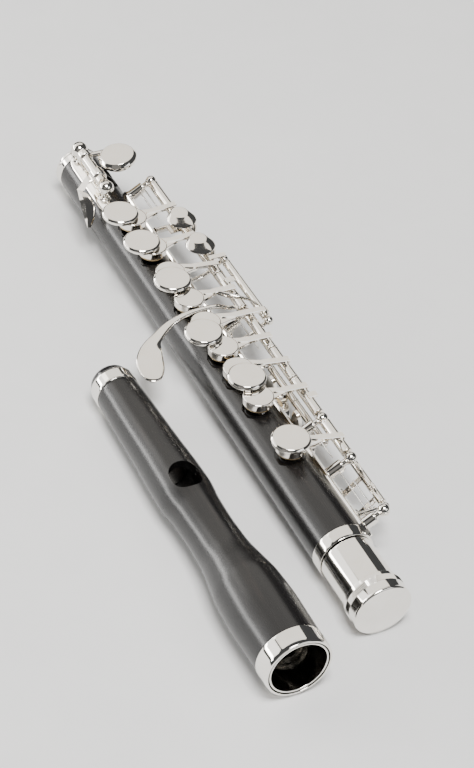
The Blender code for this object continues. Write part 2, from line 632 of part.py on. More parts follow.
def e_flat_key():
    """The E flat key, drawn closed and then turned to the raised position in which it lies."""
    line, tube, x = EB_LINE, (-179.5, -163.4), EB_HOLE_X
    base = seat_height(x) + PAD_THICKNESS
    turn = side_turn(EB_ANGLE)
    cup = disc((x, 0, base), 6.2, 1.9, 0.95, 24, turn)
    cap = turn @ Vector((x, 0, base + 1.3))
    arm = bar([(line_point(line, x - 6.2), (1.2, 0, 0), (0, 0.3, 0.6)),
               (cap + Vector((-3.0, 0, 0)), (1.6, 0, 0), (0, 0.3, 0.55))])
    pad = disc((x, 0, base - PAD_THICKNESS), EB_PAD_R, PAD_THICKNESS - GAP, 0.2, 14, turn)
    raise_turn = around_line(line, -EB_TURN)
    for shape in (cup, arm, pad):
        shape.transform(raise_turn)
    collars = [rod(line_point(line, x0), line_point(line, x1), COLLAR_R, 12)
               for x0, x1 in ((-179.2, -176.6), (-169.2, -165.7))]
    lever = bar([((-167.4, -2.4, 12.1), (1.5, 0, 0), (0, 0.2, 0.7)),
                 ((-167.5, -6.0, 11.1), (1.4, 0, 0), (0, 0.3, 0.6)),
                 ((-166.4, -8.9, 8.6), (1.3, 0, 0), (0, 0.5, 0.5))])
    edges = [((-167.2, -9.2, 8.3), (-165.2, -8.3, 9.1)), ((-163.9, -9.8, 6.9), (-161.1, -7.3, 8.6)),
             ((-160.4, -10.4, 5.6), (-157.8, -7.2, 7.6)), ((-157.0, -10.8, 4.3), (-155.4, -8.8, 5.6)),
             ((-154.2, -11.0, 3.2), (-153.4, -10.4, 3.6))]
    touch = []
    for left, right in edges:
        left, right = Vector(left), Vector(right)
        centre = 0.5 * (left + right)
        outward = Vector((0, centre.y, centre.z)).normalized()
        touch.append((centre, 0.5 * (right - left), 0.45 * outward))
    parts = [hinge_tube(line, *tube), cup, arm, lever, bar(touch)] + collars
    node("e_flat_key", cut(joined(*parts), tube_bore(line, *tube)), SILVER, line_point(line))
    node("e_flat_pad", pad, PAD_SKIN, line_point(line))


def pads():
    for name, x, offset, angle, line, turn, _ in TONE_HOLES:
        key_pad(name, x, offset, angle, line, turn)


# ---------------------------------------------------------------- tenon cap and head joint

def tenon_cap():
    inner = TENON_R + GAP
    profile = [(20.4, 0), (20.4, inner), (CAP_X, inner), (CAP_X, CAP_SLEEVE_R), (15.5, CAP_SLEEVE_R),
               (15.8, CAP_FLANGE_R), (20.4, CAP_FLANGE_R), (21.0, CAP_FLANGE_R - 0.5), (21.9, 6.0),
               (CAP_END_X, 2.6), (CAP_END_X, 0)]
    node("tenon_cap", turned(profile, 28), SILVER)


def head_radius(x):
    """Outer radius of the head joint along its axis: crown, lip bulge, waist and socket barrel."""
    knots = [(WOOD_TOP_X, 6.6), (-86.5, 7.0), (-69.0, 7.5), (-57.0, 8.0), (-50.0, 8.1), (-42.0, 7.4),
             (-34.0, 7.2), (-24.7, 7.5), (-15.3, 8.8), (-9.7, 9.6), (0.0, HEAD_BARREL_R),
             (8.0, 9.85), (MOUTH_X, 9.7)]
    for (xa, ra), (xb, rb) in zip(knots, knots[1:]):
        if x <= xb:
            s = (x - xa) / (xb - xa)
            return ra + (rb - ra) * (3 * s * s - 2 * s ** 3)
    return knots[-1][1]


def head_frame():
    return Matrix.Translation(HEAD_ORIGIN) @ Matrix.Rotation(-HEAD_PITCH, 4, 'Y')


def embouchure_cutter():
    shape = bmesh.new()
    rims = []
    for z, grow in ((2.0, 0.0), (12.0, 0.0)):
        rim = []
        for i in range(16):
            a = 2 * math.pi * i / 16
            c, s = math.cos(a), math.sin(a)
            power = (abs(c) ** 2.5 + abs(s) ** 2.5) ** (-1 / 2.5)
            x = EMBOUCHURE_X + (EMBOUCHURE_HALF_LENGTH + grow) * power * c
            rim.append(shape.verts.new((x, (EMBOUCHURE_HALF_WIDTH + grow) * power * s, z)))
        rims.append(rim)
    for i in range(16):
        j = (i + 1) % 16
        shape.faces.new((rims[0][i], rims[0][j], rims[1][j], rims[1][i]))
    shape.faces.new(rims[0])
    shape.faces.new(rims[1])
    bmesh.ops.recalc_face_normals(shape, faces=shape.faces)
    return shape


def head_joint():
    frame = head_frame()
    ring_start = MOUTH_X - SOCKET_RING_LENGTH
    steps = [WOOD_TOP_X + 8.0 * i for i in range(int((ring_start - GAP - WOOD_TOP_X) / 8.0) + 1)]
    profile = [(WOOD_TOP_X, HEAD_BORE_R)] + [(x, head_radius(x)) for x in steps]
    socket_wall = SOCKET_R + 0.8
    profile += [(ring_start - GAP, head_radius(ring_start)), (ring_start - GAP, socket_wall)]
    profile += [(MOUTH_X - SOCKET_DEPTH, socket_wall), (MOUTH_X - SOCKET_DEPTH, HEAD_BORE_R)]
    wood = turned(profile, 28, closed=True)
    node("head_tube", cut(wood, embouchure_cutter()), GRENADILLA, (0, 0, 0), frame)
    ring_profile = [(ring_start, socket_wall), (ring_start, head_radius(ring_start) + 0.15),
                    (MOUTH_X, 9.75), (MOUTH_X, socket_wall)]
    node("socket_ring", turned(ring_profile, 28, closed=True), SILVER, (0, 0, 0), frame)
    liner = ring(MOUTH_X - SOCKET_DEPTH + GAP, MOUTH_X - 0.2, SOCKET_R, SOCKET_R + 0.5)
    node("socket_liner", liner, SILVER, (0, 0, 0), frame)
    crown = ring(WOOD_TOP_X - 4.9, WOOD_TOP_X - GAP, 5.0, 6.88)
    node("crown_ring", crown, SILVER, (0, 0, 0), frame)
    cap_seat, cap_end = WOOD_TOP_X - 5.2, WOOD_TOP_X + 3.0
    cap_profile = [(CROWN_X, 0), (CROWN_X, 3.2), (CROWN_X + 0.5, 4.9), (CROWN_X + 1.4, 5.9),
                   (cap_seat, 6.2), (cap_seat, 4.6), (cap_end, 4.6), (cap_end, 0)]
    node("crown_cap", turned(cap_profile, 20), BLACK_RESIN, (0, 0, 0), frame)
    cork_start, cork_length = EMBOUCHURE_X - 24.0, 13.0
    cork_ring = ring(cork_start, cork_start + cork_length, 1.6, HEAD_BORE_R - GAP, 16)
    node("head_cork", cork_ring, CORK, (0, 0, 0), frame)
    plate_x, plate_r = cork_start + cork_length + GAP, HEAD_BORE_R - GAP
    screw = [(WOOD_TOP_X + 3.3, 0), (WOOD_TOP_X + 3.3, 1.3), (plate_x, 1.3), (plate_x, plate_r),
             (plate_x + 1.3, plate_r), (plate_x + 1.3, 0)]
    node("cork_plate", turned(screw, 16), SILVER, (0, 0, 0), frame)


def build():
    clear_scene()
    wooden_body()
    body_rings()
    main_rib()
    eb_rib()
    hinge_rods()
    needle_springs()
    finger_keys()
    g_sharp_key()
    trill_keys()
    thumb_keys()
    b_flat_lever()
    e_flat_key()
    pads()
    tenon_cap()
    head_joint()


build()
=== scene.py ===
import json
import math

import bmesh
import bpy
from mathutils import Matrix, Vector


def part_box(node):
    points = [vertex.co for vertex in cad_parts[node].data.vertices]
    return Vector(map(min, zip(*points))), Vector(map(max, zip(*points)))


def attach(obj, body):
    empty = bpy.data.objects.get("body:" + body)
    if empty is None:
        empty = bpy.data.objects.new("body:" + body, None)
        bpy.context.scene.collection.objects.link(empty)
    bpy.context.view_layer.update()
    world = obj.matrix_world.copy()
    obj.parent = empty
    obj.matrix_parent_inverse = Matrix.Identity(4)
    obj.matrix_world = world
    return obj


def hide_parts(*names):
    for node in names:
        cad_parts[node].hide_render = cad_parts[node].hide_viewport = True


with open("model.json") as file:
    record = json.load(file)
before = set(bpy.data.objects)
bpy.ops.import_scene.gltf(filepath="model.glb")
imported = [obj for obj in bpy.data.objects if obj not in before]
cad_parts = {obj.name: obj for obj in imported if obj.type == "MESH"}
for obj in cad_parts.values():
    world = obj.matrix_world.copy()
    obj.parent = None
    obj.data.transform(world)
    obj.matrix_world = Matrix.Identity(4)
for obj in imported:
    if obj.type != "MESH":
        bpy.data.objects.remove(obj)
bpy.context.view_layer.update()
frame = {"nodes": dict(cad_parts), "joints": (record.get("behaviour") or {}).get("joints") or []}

# Shapes are drawn in millimetres in the body joint's own axes: the origin on the bore's axis at the
# tenon's shoulder, +X towards the tenon, +Y towards the hinge rods and +Z towards the finger keys.
FOOT_X = -189.0
RING_X = -4.1
foot_low, foot_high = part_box("foot_ring")
SHIFT = Vector((foot_low.x * 1000 - FOOT_X,
                500 * (foot_low.y + foot_high.y),
                500 * (foot_low.z + foot_high.z)))
MM = Matrix.Scale(0.001, 4) @ Matrix.Translation(SHIFT)
# The head joint has axes of its own. It lies beside the body, its narrow end let down to the floor.
HEAD = Matrix.Translation((12.0, -30.8, 1.36)) @ Matrix.Rotation(math.radians(-1.78), 4, 'Y')


def hinge_line(joint):
    """(y, z) of a hinge line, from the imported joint."""
    place = next(j["pos_m"] for j in frame["joints"] if j["name"] == joint)
    return place[1] * 1000 - SHIFT.y, place[2] * 1000 - SHIFT.z


MAIN = hinge_line("d_key_hinge")
OUTER = hinge_line("g_lower_key_hinge")
TRILL = hinge_line("trill_d_key_hinge")
THUMB = hinge_line("thumb_b_key_hinge")
E_FLAT = hinge_line("e_flat_key_hinge")
SIDE = math.radians(108)         # where the cups at the back stand, from the top of the body
POST_ANGLE = math.radians(58)    # where the main line's posts lean out


# ------------------------------------------------------------------ materials

def shader_tree(name):
    material = bpy.data.materials.new(name)
    material.use_nodes = True
    tree = material.node_tree
    return material, tree, tree.nodes["Principled BSDF"]


def add(tree, kind, inputs=None, **settings):
    item = tree.nodes.new(kind)
    for key, value in settings.items():
        setattr(item, key, value)
    for key, value in (inputs or {}).items():
        item.inputs[key].default_value = value
    return item


def coordinates(tree, scale):
    where = add(tree, 'ShaderNodeTexCoord')
    mapping = add(tree, 'ShaderNodeMapping', {"Scale": scale})
    tree.links.new(where.outputs["Object"], mapping.inputs["Vector"])
    return mapping.outputs["Vector"]


def noise(tree, vector, scale, detail=3.0, roughness=0.5):
    item = add(tree, 'ShaderNodeTexNoise',
               {"Scale": scale, "Detail": detail, "Roughness": roughness})
    tree.links.new(vector, item.inputs["Vector"])
    return item.outputs["Fac"]


def ramp(tree, factor, stops):
    item = add(tree, 'ShaderNodeValToRGB')
    elements = item.color_ramp.elements
    while len(elements) < len(stops):
        elements.new(0.5)
    for element, (position, colour) in zip(elements, stops):
        element.position = position
        element.color = (*colour, 1.0)
    tree.links.new(factor, item.inputs["Fac"])
    return item.outputs["Color"]


def spread(tree, factor, low, high):
    item = add(tree, 'ShaderNodeMapRange', {"To Min": low, "To Max": high})
    tree.links.new(factor, item.inputs["Value"])
    return item.outputs["Result"]


def bump(tree, shader, height, strength, distance):
    item = add(tree, 'ShaderNodeBump', {"Strength": strength, "Distance": distance})
    tree.links.new(height, item.inputs["Height"])
    tree.links.new(item.outputs["Normal"], shader.inputs["Normal"])


def metal(name, light, dark, smooth, rough, fine=(900.0, 900.0, 900.0), strength=0.03):
    """A polished plate: slight clouding of its tint and polish, and very fine buffing lines."""
    material, tree, shader = shader_tree(name)
    shader.inputs["Metallic"].default_value = 1.0
    cloud = noise(tree, coordinates(tree, (1, 1, 1)), 160.0, 4.0, 0.6)
    tree.links.new(ramp(tree, cloud, [(0.3, dark), (0.62, light)]), shader.inputs["Base Color"])
    lines = noise(tree, coordinates(tree, fine), 3.0, 4.0, 0.6)
    tree.links.new(spread(tree, lines, smooth, rough), shader.inputs["Roughness"])
    bump(tree, shader, lines, strength, 0.00002)
    return material


def grenadilla():
    """Oiled African blackwood: nearly black, with brown streaks and fine pores along the grain."""
    material, tree, shader = shader_tree("grenadilla")
    streaks = noise(tree, coordinates(tree, (1.0, 11.0, 11.0)), 42.0, 6.0, 0.62)
    tone = ramp(tree, streaks, [(0.34, (0.0045, 0.0042, 0.0043)),
                                (0.55, (0.0075, 0.0068, 0.0066)),
                                (0.76, (0.015, 0.0118, 0.0105))])
    tree.links.new(tone, shader.inputs["Base Color"])
    pores = noise(tree, coordinates(tree, (1.0, 16.0, 16.0)), 260.0, 3.0, 0.7)
    tree.links.new(spread(tree, pores, 0.25, 0.29), shader.inputs["Roughness"])
    shader.inputs["Specular IOR Level"].default_value = 0.5
    shader.inputs["Coat Weight"].default_value = 0.05
    shader.inputs["Coat Roughness"].default_value = 0.2
    bump(tree, shader, pores, 0.02, 0.00003)
    return material


def soft(name, stops, scale, roughness, strength, distance):
    """A matt material whose colour and surface both follow one noise."""
    material, tree, shader = shader_tree(name)
    grain = noise(tree, coordinates(tree, (1, 1, 1)), scale, 6.0, 0.65)
    tree.links.new(ramp(tree, grain, stops), shader.inputs["Base Color"])
    tree.links.new(spread(tree, grain, roughness[0], roughness[1]), shader.inputs["Roughness"])
    bump(tree, shader, grain, strength, distance)
    return material


SILVER = metal("silver_plate", (0.93, 0.89, 0.825), (0.89, 0.845, 0.775), 0.04, 0.1)
BRIGHT = metal("silver_rings", (0.93, 0.90, 0.85), (0.89, 0.86, 0.80), 0.045, 0.1,
               (60.0, 1500.0, 1500.0), 0.02)
STEEL = metal("spring_steel", (0.66, 0.655, 0.64), (0.52, 0.515, 0.505), 0.16, 0.3,
              (40.0, 2500.0, 2500.0), 0.05)
WOOD = grenadilla()
SKIN = soft("pad_skin",
            [(0.25, (0.40, 0.27, 0.13)), (0.5, (0.56, 0.42, 0.23)), (0.75, (0.66, 0.53, 0.33))],
            900.0, (0.5, 0.72), 0.25, 0.00005)
CORK = soft("cork",
            [(0.3, (0.24, 0.14, 0.07)), (0.45, (0.50, 0.35, 0.20)), (0.8, (0.62, 0.46, 0.29))],
            700.0, (0.7, 0.9), 0.5, 0.0002)
RESIN = soft("black_resin", [(0.3, (0.008, 0.008, 0.009)), (0.7, (0.015, 0.0145, 0.015))],
             260.0, (0.14, 0.24), 0.03, 0.00003)
FLOOR = soft("pale_floor", [(0.3, (0.80, 0.80, 0.795)), (0.7, (0.83, 0.83, 0.825))],
             40.0, (0.75, 0.85), 0.02, 0.0001)


# ------------------------------------------------------------------ shapes

def lathe(profile, sides=64, closed=False, wave=None):
    """Turns an (x, r) profile about X. wave(angle, index) scales a ring's radius."""
    shape = bmesh.new()
    rings = []
    for index, (x, r) in enumerate(profile):
        if r < 1e-6:
            rings.append([shape.verts.new((x, 0, 0))])
            continue
        ring = []
        for i in range(sides):
            a = 2 * math.pi * i / sides
            reach = r * (wave(a, index) if wave else 1.0)
            ring.append(shape.verts.new((x, reach * math.cos(a), reach * math.sin(a))))
        rings.append(ring)
    pairs = list(zip(rings, rings[1:]))
    if closed:
        pairs.append((rings[-1], rings[0]))
    for a, b in pairs:
        for i in range(sides):
            j = (i + 1) % sides
            corners = (a[i % len(a)], a[j % len(a)], b[j % len(b)], b[i % len(b)])
            shape.faces.new(list(dict.fromkeys(corners)))
    bmesh.ops.recalc_face_normals(shape, faces=shape.faces)
    return shape


def filleted(points, radii, steps=5, closed=False):
    """Rounds the corners of an (x, r) profile by the radius given for each point."""
    out = []
    count = len(points)
    for i, point in enumerate(points):
        p = Vector(point)
        radius = radii[i]
        if radius <= 0 or (not closed and i in (0, count - 1)):
            out.append(tuple(p))
            continue
        before = Vector(points[i - 1]) - p
        after = Vector(points[(i + 1) % count]) - p
        reach = min(radius, 0.48 * before.length, 0.48 * after.length)
        a, b = p + before.normalized() * reach, p + after.normalized() * reach
        for k in range(steps + 1):
            t = k / steps
            out.append(tuple((1 - t) ** 2 * a + 2 * t * (1 - t) * p + t * t * b))
    return out


def skin(rings):
    """Joins rings of points, in their order, into one closed shape."""
    shape = bmesh.new()
    loops = [[shape.verts.new(spot) for spot in ring] for ring in rings]
    count = len(loops[0])
    for a, b in zip(loops, loops[1:]):
        for i in range(count):
            j = (i + 1) % count
            shape.faces.new((a[i], a[j], b[j], b[i]))
    shape.faces.new(loops[0])
    shape.faces.new(loops[-1])
    bmesh.ops.recalc_face_normals(shape, faces=shape.faces)
    return shape


def aim(start, direction):
    """Turns a shape drawn along X to a direction and sets its origin down at a point."""
    turn = Vector(direction).to_track_quat('X', 'Z').to_matrix().to_4x4()
    return Matrix.Translation(Vector(start)) @ turn


def moved(shape, matrix):
    shape.transform(matrix)
    return shape


def merged(*shapes):
    """Puts several shapes in one mesh."""
    out = shapes[0]
    for shape in shapes[1:]:
        mesh = bpy.data.meshes.new("scratch")
        shape.to_mesh(mesh)
        shape.free()
        out.from_mesh(mesh)
        bpy.data.meshes.remove(mesh)
    return out


def spindle(start, end, r, sides=32):
    """A rod with softened ends."""
    start, end = Vector(start), Vector(end)
    length = (end - start).length
    profile = filleted([(0, 0), (0, r), (length, r), (length, 0)], [0, 0.12, 0.12, 0], 3)
    return moved(lathe(profile, sides), aim(start, end - start))


def orb(centre, r):
    steps = 16
    profile = [(-r * math.cos(math.pi * k / steps), r * math.sin(math.pi * k / steps))
               for k in range(steps + 1)]
    profile[0], profile[-1] = (-r, 0), (r, 0)
    return moved(lathe(profile, 32), aim(centre, (1, 0, 0)))


def spline(stations, per=6):
    """Resamples stations of vectors along a Catmull-Rom curve."""
    rows = [[Vector(v) for v in row] for row in stations]
    rows = [rows[0]] + rows + [rows[-1]]
    out = []
    for i in range(1, len(rows) - 2):
        for k in range(per):
            t = k / per
            weights = (-0.5 * t + t * t - 0.5 * t ** 3, 1 - 2.5 * t * t + 1.5 * t ** 3,
                       0.5 * t + 2 * t * t - 1.5 * t ** 3, -0.5 * t * t + 0.5 * t ** 3)
            out.append([sum((w * rows[i - 1 + n][c] for n, w in enumerate(weights)),
                            Vector((0, 0, 0))) for c in range(len(rows[i]))])
    out.append(rows[-2])
    return out


def blade(stations, per=6, square=5.0, around=20):
    """A bar with a rounded section through (centre, half side, half thickness) stations."""
    rows = spline(stations, per)

    def section(centre, side, thick):
        points = []
        for i in range(around):
            a = 2 * math.pi * (i + 0.5) / around
            c, s = math.cos(a), math.sin(a)
            u = math.copysign(abs(c) ** (2 / square), c)
            v = math.copysign(abs(s) ** (2 / square), s)
            points.append(centre + side * u + thick * v)
        return points

    def tip(end, inner):
        """A smaller section just past an end rounds it off."""
        centre, side, thick = end
        step = (centre - inner[0]).normalized() * min(0.18, thick.length * 0.4)
        return section(centre + step, side * 0.8, thick * 0.7)

    rings = [section(*row) for row in rows]
    return skin([tip(rows[0], rows[1])] + rings + [tip(rows[-1], rows[-2])])


def plank(stations, edge=0.13):
    """A crisp flat bar through (centre, half side, half thickness) stations, bevelled all round."""
    rows = [[Vector(v) for v in row] for row in stations]

    def section(centre, side, thick, shrink=0.0):
        a = min(0.45, edge / side.length)
        b = min(0.45, edge / thick.length)
        su, sv = 1 - shrink * a, 1 - shrink * b
        spots = [(su - a, -sv), (su, b - sv), (su, sv - b), (su - a, sv),
                 (a - su, sv), (-su, sv - b), (-su, b - sv), (a - su, -sv)]
        return [centre + side * u + thick * v for u, v in spots]

    first = (rows[1][0] - rows[0][0]).normalized() * edge
    last = (rows[-2][0] - rows[-1][0]).normalized() * edge
    rings = [section(*rows[0], 1.0), section(rows[0][0] + first, *rows[0][1:])]
    rings += [section(*row) for row in rows[1:-1]]
    rings += [section(rows[-1][0] + last, *rows[-1][1:]), section(*rows[-1], 1.0)]
    return skin(rings)


def shell(x0, x1, angles, lower, upper, stations=40, slices=10, point=0.12):
    """A curved plate on the body between two angles from its top, with rounded tips."""
    middle, half = 0.5 * (angles[0] + angles[1]), 0.5 * (angles[1] - angles[0])
    shape = bmesh.new()
    loops = []
    for i in range(stations + 1):
        t = i / stations
        s = 0.5 - 0.5 * math.cos(math.pi * t)
        x = x0 + (x1 - x0) * s
        edge = min(s, 1 - s) / point
        width = half * (1.0 if edge >= 1 else max(0.12, math.sqrt(1 - (1 - edge) ** 2)))
        spots = [middle + width * (2 * j / (slices - 1) - 1) for j in range(slices)]
        below = [(x, lower(x) * math.sin(a), lower(x) * math.cos(a)) for a in spots]
        high = upper(x)
        above = []
        for j, a in reversed(list(enumerate(spots))):
            r = high - (0.15 if j in (0, slices - 1) else 0.0)
            above.append((x, r * math.sin(a), r * math.cos(a)))
        loops.append([shape.verts.new(p) for p in below + above])
    count = len(loops[0])
    for a, b in zip(loops, loops[1:]):
        for i in range(count):
            j = (i + 1) % count
            shape.faces.new((a[i], a[j], b[j], b[i]))
    for end in (loops[0], loops[-1]):
        for i in range(slices - 1):
            shape.faces.new((end[i], end[i + 1], end[count - 2 - i], end[count - 1 - i]))
    bmesh.ops.recalc_face_normals(shape, faces=shape.faces)
    return shape


def piece(name, shape, body, material, stands_for, frame_matrix=Matrix.Identity(4),
          sharp=38.0):
    """Makes one visible piece, in metres, that moves with a body."""
    shape.transform(MM @ frame_matrix)
    if shape.calc_volume(signed=True) < 0:
        bmesh.ops.reverse_faces(shape, faces=shape.faces)
    mesh = bpy.data.meshes.new(name)
    shape.to_mesh(mesh)
    shape.free()
    mesh.materials.append(material)
    mesh.shade_smooth()
    mesh.set_sharp_from_angle(angle=math.radians(sharp))
    item = bpy.data.objects.new(name, mesh)
    bpy.context.scene.collection.objects.link(item)
    weighted = item.modifiers.new("even_flats", 'WEIGHTED_NORMAL')
    weighted.keep_sharp = True
    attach(item, body)
    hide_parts(*stands_for)


def carve(base, cutter):
    """Cuts one shape out of another with an exact Boolean."""
    items = []
    for shape in (base, cutter):
        mesh = bpy.data.meshes.new("scratch")
        shape.to_mesh(mesh)
        shape.free()
        item = bpy.data.objects.new("scratch", mesh)
        bpy.context.scene.collection.objects.link(item)
        items.append(item)
    step = items[0].modifiers.new("cut", 'BOOLEAN')
    step.operation = 'DIFFERENCE'
    step.solver = 'EXACT'
    step.object = items[1]
    result = bmesh.new()
    result.from_object(items[0], bpy.context.evaluated_depsgraph_get())
    for item in items:
        mesh = item.data
        bpy.data.objects.remove(item)
        bpy.data.meshes.remove(mesh)
    return result


def polar(r, angle, x=0.0):
    """A point at a radius and an angle from the top of the body."""
    return Vector((x, r * math.sin(angle), r * math.cos(angle)))


def on_line(line, x=0.0):
    return Vector((x, line[0], line[1]))


# ------------------------------------------------------------------ wood and rings

def body_radius(x):
    """The body widens slightly towards its tenon."""
    return 7.35 + 0.8 * (x - FOOT_X) / (RING_X - FOOT_X)


def seat_height(x):
    """Where the flat seat round a tone hole lies."""
    return body_radius(x) - 0.75


# How far an open cup stands off its hole. The top cups sit slightly beside the body's top line.
OPEN, THUMB_OPEN = math.radians(6.2), math.radians(-13.0)
CUP_Y = -0.5
CUP_R, PAD_R = 4.5, 4.1
TRILL_CUP_R, TRILL_PAD_R = 3.6, 3.2
PAD_THICKNESS = 1.4
# Each cup: name, x, y, angle from the top, hinge line, opening, radius of its tone hole.
CUPS = [
    ("d", -144.5, CUP_Y, 0.0, MAIN, OPEN, 2.9),
    ("e", -129.2, CUP_Y, 0.0, MAIN, OPEN, 2.9),
    ("f", -116.0, CUP_Y, 0.0, MAIN, OPEN, 2.8),
    ("f_sharp", -102.4, CUP_Y, 0.0, MAIN, OPEN, 2.8),
    ("g_lower", -90.7, CUP_Y, 0.0, OUTER, OPEN * 0.75, 2.7),
    ("g", -78.8, CUP_Y, 0.0, MAIN, OPEN, 2.7),
    ("a", -68.6, CUP_Y, 0.0, MAIN, OPEN, 2.6),
    ("b_flat", -55.5, CUP_Y, 0.0, MAIN, OPEN, 2.5),
    ("c", -34.8, CUP_Y, 0.0, MAIN, OPEN, 1.9),
    ("g_sharp", -97.0, 0.0, SIDE, MAIN, 0.0, 2.5),
    ("thumb_b_flat", -62.0, 0.0, SIDE, THUMB, THUMB_OPEN, 2.4),
    ("thumb_b", -46.0, 0.0, SIDE, THUMB, THUMB_OPEN, 2.4),
    ("trill_d_sharp", -23.0, 0.0, SIDE, TRILL, 0.0, 1.8),
    ("trill_d", -14.2, 0.0, SIDE, TRILL, 0.0, 1.8)]
E_FLAT_X, E_FLAT_ANGLE, E_FLAT_RAISE = -172.2, math.radians(36), math.radians(46)


def pad_lift(turn):
    """How high a pad stands over its seat's plane: a closed one nearly rests on it."""
    return 0.18 if turn == 0.0 else 1.75


def about(line, angle):
    """A turn about a hinge line."""
    hinge = Matrix.Translation(on_line(line))
    return hinge @ Matrix.Rotation(angle, 4, 'X') @ hinge.inverted()


def tone_hole_cutters():
    """Tone holes with a raised rim inside a flat recess that clears the pad."""
    cutters = []
    rows = CUPS + [("e_flat", E_FLAT_X, 0.0, E_FLAT_ANGLE, E_FLAT, None, 3.0)]
    for name, x, offset, angle, line, turn, hole in rows:
        lift = 0.0 if turn is None else pad_lift(turn)
        seat = seat_height(x) + lift - 0.12
        recess = 5.8 if turn is None else (3.7 if name.startswith("trill") else 4.6)
        profile = [(3.0, 0), (3.0, hole), (seat - 0.35, hole), (seat - 0.12, hole + 0.35),
                   (seat, hole + 0.5), (seat, hole + 1.0), (seat - 0.25, hole + 1.15),
                   (seat - 0.25, recess - 0.1), (seat + 7, recess + 0.1), (seat + 7, 0)]
        cutter = lathe(profile, 48)
        cutter.transform(Matrix.Rotation(-angle, 4, 'X') @ aim((x, offset, 0), (0, 0, 1)))
        cutter.transform(about(line, turn or 0.0))
        cutters.append(cutter)
    return merged(*cutters)


def body_wood():
    inset = FOOT_X + 0.3
    points = [(inset, 4.0), (inset, 6.3), (FOOT_X + 3.85, 6.3), (FOOT_X + 3.85, 7.35)]
    points += [(x, body_radius(x)) for x in range(-180, -10, 10)]
    points += [(RING_X - 0.12, 8.15), (RING_X - 0.12, 7.2), (0.3, 7.2), (19.2, 7.24), (19.2, 5.5)]
    radii = [0.3, 0.2, 0, 0.25] + [0] * 17 + [0.25, 0, 0, 0.2, 0.3]
    tube = lathe(filleted(points, radii, 3, closed=True), 128, closed=True)
    piece("body_wood", carve(tube, tone_hole_cutters()), "body_joint", WOOD,
          ["body_tube"], sharp=28)


def band(node, profile, radii, body, matrix=Matrix.Identity(4)):
    """A turned silver ring in the place of one node."""
    shape = lathe(filleted(profile, radii, 5, closed=True), 128, closed=True)
    piece(node + "_fine", shape, body, BRIGHT, [node], matrix)


def body_rings():
    band("foot_ring",
         [(FOOT_X, 6.65), (FOOT_X, 7.5), (FOOT_X + 0.9, 7.5), (FOOT_X + 1.1, 7.38),
          (FOOT_X + 3.7, 7.42), (FOOT_X + 3.7, 6.65)],
         [0.1, 0.2, 0.1, 0.1, 0.15, 0], "body_joint")
    band("body_ring",
         [(RING_X, 7.5), (RING_X, 8.36), (RING_X + 0.6, 8.4), (-0.7, 8.4), (0, 8.3), (0, 7.5)],
         [0, 0.15, 0.2, 0.3, 0.2, 0], "body_joint")
    band("tenon_sleeve",
         [(0.35, 7.54), (0.35, 7.82), (0.9, 7.89), (18.5, 7.89), (19.2, 7.7), (19.2, 7.54)],
         [0, 0.1, 0.2, 0.4, 0.1, 0], "body_joint")


def tenon_cap():
    """A slip-on cap with a milled rim and a polished domed end."""
    inner, teeth = 8.19, 150
    rim_start, rim_end, rim_r = 15.7, 17.6, 8.56
    points = [(20.4, 0), (20.4, inner), (14.4, inner), (14.4, 8.48), (rim_start, 8.48),
              (rim_start, rim_r), (rim_end, rim_r), (rim_end, 8.5), (20.2, 8.5), (20.6, 8.62),
              (21.0, 8.4), (21.7, 6.4), (22.25, 3.4), (22.38, 0)]
    radii = [0, 0, 0, 0.12, 0.03, 0.08, 0.08, 0.03, 0.2, 0.3, 0.4, 2.0, 2.0, 0]
    profile = filleted(points, radii, 5)

    def milled(angle, index):
        x, r = profile[index]
        if rim_start + 0.02 < x < rim_end - 0.02 and r > 8.5:
            return 1.0 + 0.011 * (0.5 + 0.5 * math.cos(teeth * angle)) - 0.004
        return 1.0

    piece("tenon_cap_fine", lathe(profile, teeth * 4, wave=milled), "tenon_cap", BRIGHT,
          ["tenon_cap"], sharp=30)


# ------------------------------------------------------------------ head joint

CROWN_WOOD_X, MOUTH_X = -96.0, 20.0
RING_START = MOUTH_X - 5.8
HEAD_KNOTS = [(CROWN_WOOD_X, 6.6), (-86.5, 7.0), (-69.0, 7.5), (-57.0, 8.0), (-50.0, 8.1),
              (-42.0, 7.4), (-34.0, 7.2), (-24.7, 7.5), (-15.3, 8.8), (-9.7, 9.6), (0.0, 10.0),
              (8.0, 9.85), (MOUTH_X, 9.7)]


def head_radius(x):
    """A smooth monotone curve through the turned diameters of the head joint."""
    knots = HEAD_KNOTS
    for i in range(len(knots) - 1):
        if x <= knots[i + 1][0]:
            break
    slopes = []
    for n in (i, i + 1):
        if n in (0, len(knots) - 1):
            slopes.append(0.02)
            continue
        (xa, ra), (xb, rb), (xc, rc) = knots[n - 1], knots[n], knots[n + 1]
        left, right = (rb - ra) / (xb - xa), (rc - rb) / (xc - xb)
        slopes.append(0.0 if left * right <= 0 else 2 * left * right / (left + right))
    (xa, ra), (xb, rb) = knots[i], knots[i + 1]
    h = xb - xa
    t = max(0.0, (x - xa) / h)
    return (ra * (2 * t ** 3 - 3 * t * t + 1) + h * slopes[0] * (t ** 3 - 2 * t * t + t)
            + rb * (3 * t * t - 2 * t ** 3) + h * slopes[1] * (t ** 3 - t * t))


def embouchure_cutter():
    """A rounded oval chimney that opens slightly towards the bore and at its lip."""
    x, half_x, half_y, square = -50.4, 5.0, 4.3, 2.5
    rings = []
    sides = 64
    for z, grow in ((2.0, 0.5), (6.0, 0.12), (7.6, 0.0), (8.05, 0.06), (8.3, 0.3), (9.5, 1.0)):
        ring = []
        for i in range(sides):
            a = 2 * math.pi * i / sides
            c, s = math.cos(a), math.sin(a)
            power = (abs(c) ** square + abs(s) ** square) ** (-1 / square)
            ring.append((x + (half_x + grow) * power * c, (half_y + grow) * power * s, z))
        rings.append(ring)
    return skin(rings)


